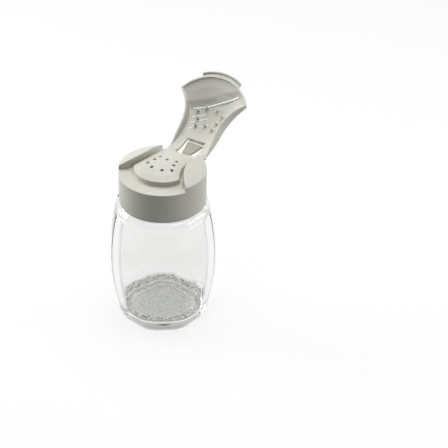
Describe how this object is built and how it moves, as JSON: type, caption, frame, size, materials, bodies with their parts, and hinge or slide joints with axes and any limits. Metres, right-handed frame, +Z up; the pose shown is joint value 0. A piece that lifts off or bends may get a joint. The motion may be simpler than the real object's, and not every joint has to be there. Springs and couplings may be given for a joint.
{
  "type": "spice shaker",
  "caption": "Octagonal thick glass spice jar with a screw cap, a raised sifter and a snap-hinged flip lid with sealing pegs, drawn with the lid open.",
  "frame": {"origin": "on the jar's axis at the plane of its standing ring", "axes": "+Z up along the jar's axis, +Y towards the lid's hinge, -Y towards the finger scoop"},
  "size_m": [0.0604, 0.0975, 0.124],
  "materials": {
    "glass": "clear, polished",
    "cap_plastic": "fine satin moulding",
    "seal": "soft, plain"
  },
  "bodies": {
    "jar": {"glass_jar": "glass"},
    "seal": {"sealing_ring": "seal"},
    "cap": {"screw_cap": "cap_plastic", "left_hinge_web": "cap_plastic", "right_hinge_web": "cap_plastic", "tongue_root_web": "cap_plastic"},
    "lid": {"flip_lid": "cap_plastic"},
    "tongue": {"spring_tongue": "cap_plastic"}
  },
  "joints": [
    {"name": "cap_lift", "type": "slide", "parent": "jar", "child": "seal", "axis": [0, 0, 1], "range_m": [0, 0.005]},
    {"name": "cap_turn", "type": "hinge", "parent": "seal", "child": "cap", "pos_m": [0, 0, 0.0834], "axis": [0, 0, 1], "range_deg": [0, 450]},
    {"name": "lid_hinge", "type": "hinge", "parent": "cap", "child": "lid", "pos_m": [0, 0.025, 0.0926], "axis": [-1, 0, 0], "range_deg": [-141, 9]},
    {"name": "tongue_hinge", "type": "hinge", "parent": "cap", "child": "tongue", "pos_m": [0, 0.02467, 0.09166], "axis": [-1, 0, 0], "range_deg": [-131.4, 8.5]}
  ],
  "couplings": [
    {"joint": "cap_lift", "follows": "cap_turn", "m_per_rad": 0.00063662},
    {"joint": "tongue_hinge", "follows": "lid_hinge", "ratio": 0.9314}
  ]
}
